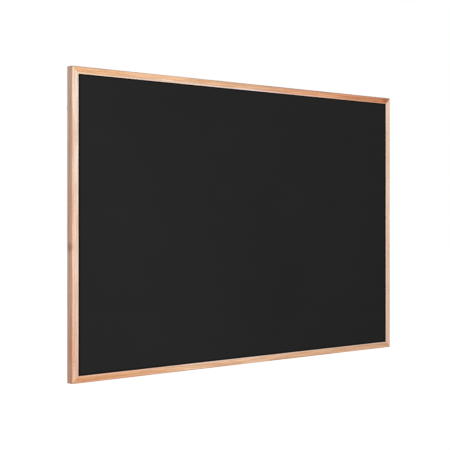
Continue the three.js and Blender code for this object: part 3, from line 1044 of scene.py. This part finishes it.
def wall_bumper(radius, height):
    """A button that stands on the origin along Y, with a shallow dish in its end."""
    bumper = begin(
        "wall_bumper",
        bpy.ops.mesh.primitive_cylinder_add,
        vertices=48,
        radius=radius,
        depth=height,
        location=(0, height / 2, 0),
        rotation=(math.pi / 2, 0, 0),
    )
    pick("EDGE", lambda point: near(point.y, height))
    ease(BUMPER_ARRIS, 6)
    pick("FACE", lambda point: near(point.y, height))
    bpy.ops.mesh.inset(thickness=BUMPER_RIM)
    bpy.ops.mesh.inset(thickness=BUMPER_DISH)
    bpy.ops.transform.translate(value=(0, -BUMPER_DISH, 0))
    bpy.ops.object.mode_set(mode="OBJECT")
    finish_shape(bumper)
    return bumper


def rubber():
    material, tree, shader, place = new_finish("bumper_rubber", specular=0.3)
    speckle = grain_of(tree, place, SPECKLES_PER_METRE, 3.0, 0.6)
    colour = blend_of(tree, step_between(tree, speckle, 0.35, 0.7), RUBBER_BLACK, RUBBER_GREY)
    feed(tree, shader.inputs["Base Color"], colour)
    feed(tree, shader.inputs["Roughness"], step_between(tree, speckle, 0.3, 0.7, *RUBBER_ROUGHNESS))
    add_relief(tree, shader, speckle, RUBBER_RELIEF)
    return material


bumper_low, bumper_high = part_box("wall_bumper_top_right")
bumper_pattern = wall_bumper((bumper_high.z - bumper_low.z) / 2, bumper_high.y - bumper_low.y)
coat(bumper_pattern, rubber())
for corner, *_ in corners:
    low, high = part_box(f"wall_bumper_{corner}")
    bumper = copy_of(bumper_pattern, f"bumper_{corner}")
    place_at(bumper, ((low.x + high.x) / 2, low.y, (low.z + high.z) / 2))
    hand_over(bumper, f"wall_bumper_{corner}")
bpy.data.objects.remove(bumper_pattern)

# Studio
# A pale floor well below the board, a white world, one large soft lamp at the front left and a
# weaker one behind. Far from the board the floor gives the camera more light, to meet the background.
FLOOR_DROP = 0.95
FLOOR_SIZE = 60
FLOOR_GREY = (0.8, 0.8, 0.8, 1)
FLOOR_ROUGHNESS = 0.9
FLOOR_GLOW_NEAR = 0.12
FLOOR_GLOW_FAR = 0.70
GLOW_STARTS = 1.2
GLOW_FULL = 3.2
AMBIENT = 0.42
WHITE = (1, 1, 1, 1)
LAMP_SIZE = 1.6
# Each lamp's power in watts and its place from the middle of the board
lamps = {
    "front_lamp": (42, Vector((-0.85, -2.38, 0.575))),
    "rear_lamp": (26, Vector((1.4, 2.2, 0.6))),
}


def pale_floor():
    material, tree, shader, place = new_finish("pale_floor", specular=0.0)
    feed(tree, shader.inputs["Roughness"], FLOOR_ROUGHNESS)
    shader.inputs["Base Color"].default_value = FLOOR_GREY
    shader.inputs["Emission Color"].default_value = WHITE
    from_board = length_of(tree, vector_of(tree, "MULTIPLY", place, (1, 1, 0)))
    glow = step_between(tree, from_board, GLOW_STARTS, GLOW_FULL, FLOOR_GLOW_NEAR, FLOOR_GLOW_FAR)
    path = node_of(tree, "ShaderNodeLightPath")
    glow = compute(tree, "MULTIPLY", path.outputs["Is Camera Ray"], glow)
    feed(tree, shader.inputs["Emission Strength"], glow)
    return material


floor_z = bottom_low.z - FLOOR_DROP
floor = begin("floor", bpy.ops.mesh.primitive_plane_add, size=FLOOR_SIZE, location=(0, 0, floor_z))
coat(floor, pale_floor())

world = bpy.data.worlds.new("studio")
bpy.context.scene.world = world
world.use_nodes = True
tree = world.node_tree
ambient = tree.nodes["Background"]
ambient.inputs["Color"].default_value = WHITE
ambient.inputs["Strength"].default_value = AMBIENT
white = node_of(tree, "ShaderNodeBackground")
white.inputs["Color"].default_value = WHITE
white.inputs["Strength"].default_value = 1.0
path = node_of(tree, "ShaderNodeLightPath").outputs
seen = compute(
    tree, "MAXIMUM", path["Is Camera Ray"], path["Is Glossy Ray"], path["Is Transmission Ray"]
)
sky = node_of(tree, "ShaderNodeMixShader")
feed(tree, sky.inputs[0], seen)
feed(tree, sky.inputs[1], ambient.outputs[0])
feed(tree, sky.inputs[2], white.outputs[0])
feed(tree, tree.nodes["World Output"].inputs["Surface"], sky.outputs[0])

for name, (power, from_board) in lamps.items():
    lamp_data = bpy.data.lights.new(name, "AREA")
    lamp_data.shape = "DISK"
    lamp_data.size = LAMP_SIZE
    lamp_data.energy = power
    lamp = bpy.data.objects.new(name, lamp_data)
    lamp.location = board_middle + from_board
    lamp.rotation_euler = (-from_board).to_track_quat("-Z", "Y").to_euler()
    lamp.visible_camera = False
    bpy.context.scene.collection.objects.link(lamp)
